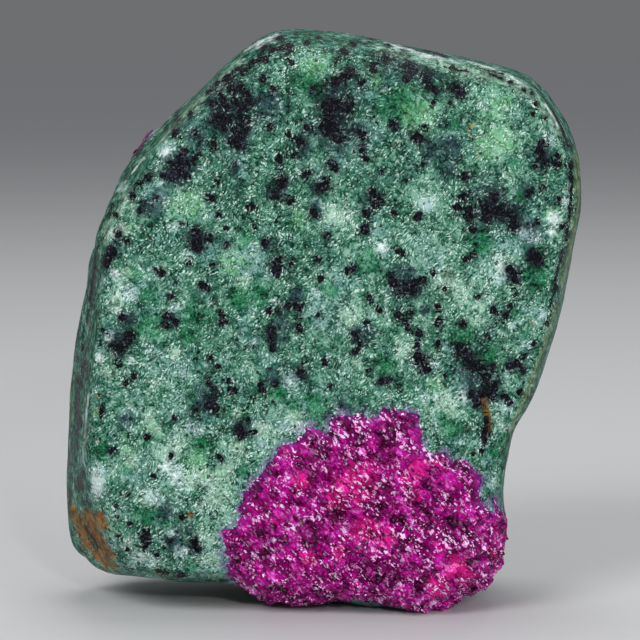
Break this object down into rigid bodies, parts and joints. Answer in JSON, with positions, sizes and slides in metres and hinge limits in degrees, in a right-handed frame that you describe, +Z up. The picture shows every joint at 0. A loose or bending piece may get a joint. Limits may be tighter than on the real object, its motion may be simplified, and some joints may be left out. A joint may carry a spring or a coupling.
{
  "type": "ruby in zoisite mineral specimen",
  "caption": "Tumbled block of green zoisite rock that stands on a worn flat, with a large ruby crystal mass in its lower front and a small one in its upper side.",
  "frame": {"origin": "middle of the footprint of the specimen's box, on the surface that it stands on", "axes": "+Z up along the specimen's height, -Y out of the broad face that shows the large ruby, +X to the right of that face"},
  "size_m": [0.0714, 0.0376, 0.078],
  "materials": {
    "zoisite": "tumbled to a satin, green with black hornblende grains and pale patches",
    "ruby": "rough cleavage faces, deep pink-red with a glassy sparkle"
  },
  "bodies": {
    "root": {"zoisite_matrix": "zoisite", "ruby_crystal_front": "ruby", "ruby_crystal_side": "ruby"}
  },
  "joints": []
}
